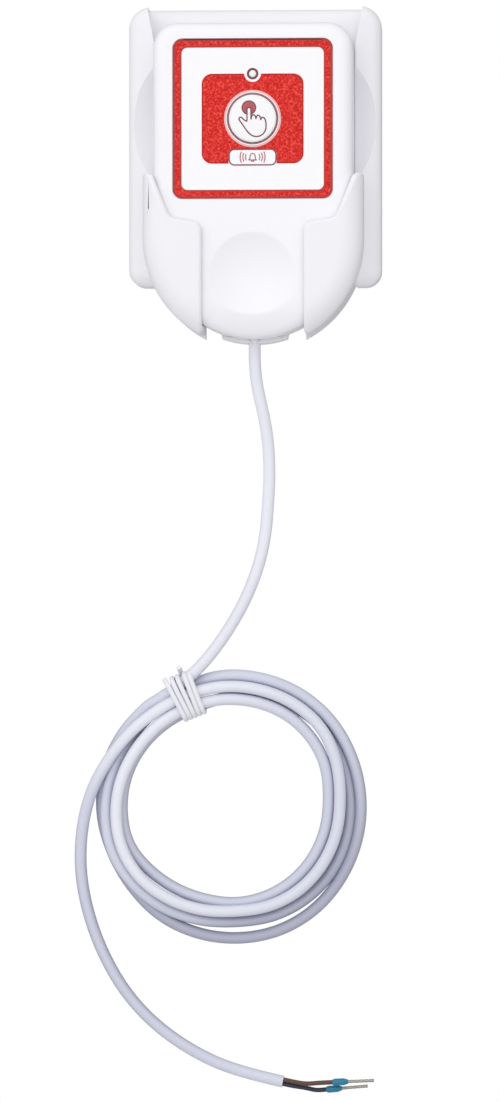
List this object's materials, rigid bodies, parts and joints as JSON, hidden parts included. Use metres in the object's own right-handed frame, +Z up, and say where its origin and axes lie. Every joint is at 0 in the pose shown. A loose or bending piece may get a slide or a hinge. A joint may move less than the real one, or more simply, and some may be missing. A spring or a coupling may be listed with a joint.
{
  "type": "corded call button handset in its wall holder",
  "caption": "Hand-held call button on a coiled two-core cable, resting in a wall holder with an open cradle, finger scoops and screw holes.",
  "frame": {"origin": "centre of the holder's back face, on the wall", "axes": "+X to the right seen from the front, +Y into the wall, +Z up; the face of the handset looks along -Y"},
  "size_m": [0.0884, 0.0301, 0.3108],
  "materials": {
    "holder_plastic": "moulded white plastic, fine satin",
    "shell_plastic": "moulded white plastic, fine satin",
    "label_white": "satin white film",
    "label_red": "screen-printed red",
    "button_plastic": "satin white",
    "switch_black": "satin black",
    "lens_clear": "clear, polished",
    "led_body": "white body with a clear cap",
    "board_laminate": "green solder mask",
    "resistor_ceramic": "dark glaze",
    "terminal_green": "green plastic",
    "screw_steel": "zinc-plated steel",
    "bush_rubber": "soft pale grey",
    "clamp_plastic": "plain white",
    "cable_jacket": "smooth pale grey PVC",
    "core_brown_skin": "brown PVC",
    "core_dark_skin": "blue-black PVC",
    "tie_plastic": "plastic-coated wire",
    "collar_teal": "teal plastic",
    "tinned_copper": "tin plating"
  },
  "bodies": {
    "body": {"holder": "holder_plastic", "front_shell": "shell_plastic", "rear_shell": "shell_plastic", "front_label": "label_white", "label_print": "label_red", "switch_body": "switch_black", "light_pipe": "lens_clear", "indicator_led": "led_body", "circuit_board": "board_laminate", "resistors": "resistor_ceramic", "terminal_block": "terminal_green", "terminal_screws": "screw_steel", "board_screws": "screw_steel", "shell_screws": "screw_steel", "cable_bush": "bush_rubber", "cable_clamp": "clamp_plastic", "clamp_screws": "screw_steel", "cable_inner_end": "cable_jacket", "inner_core_brown": "core_brown_skin", "inner_core_dark": "core_dark_skin", "cord_lead": "cable_jacket", "cord_coil": "cable_jacket", "cord_tail": "cable_jacket", "cord_tie": "tie_plastic", "core_brown": "core_brown_skin", "core_dark": "core_dark_skin", "ferrule_collar_upper": "collar_teal", "ferrule_collar_lower": "collar_teal", "ferrule_pin_upper": "tinned_copper", "ferrule_pin_lower": "tinned_copper"},
    "button": {"call_button": "button_plastic", "switch_plunger": "switch_black"}
  },
  "joints": [
    {"name": "button_press", "type": "slide", "parent": "body", "child": "button", "axis": [0, 1, 0], "range_m": [0, 0.0006], "stiffness_N_per_m": 1500, "springref_m": -0.0005}
  ]
}
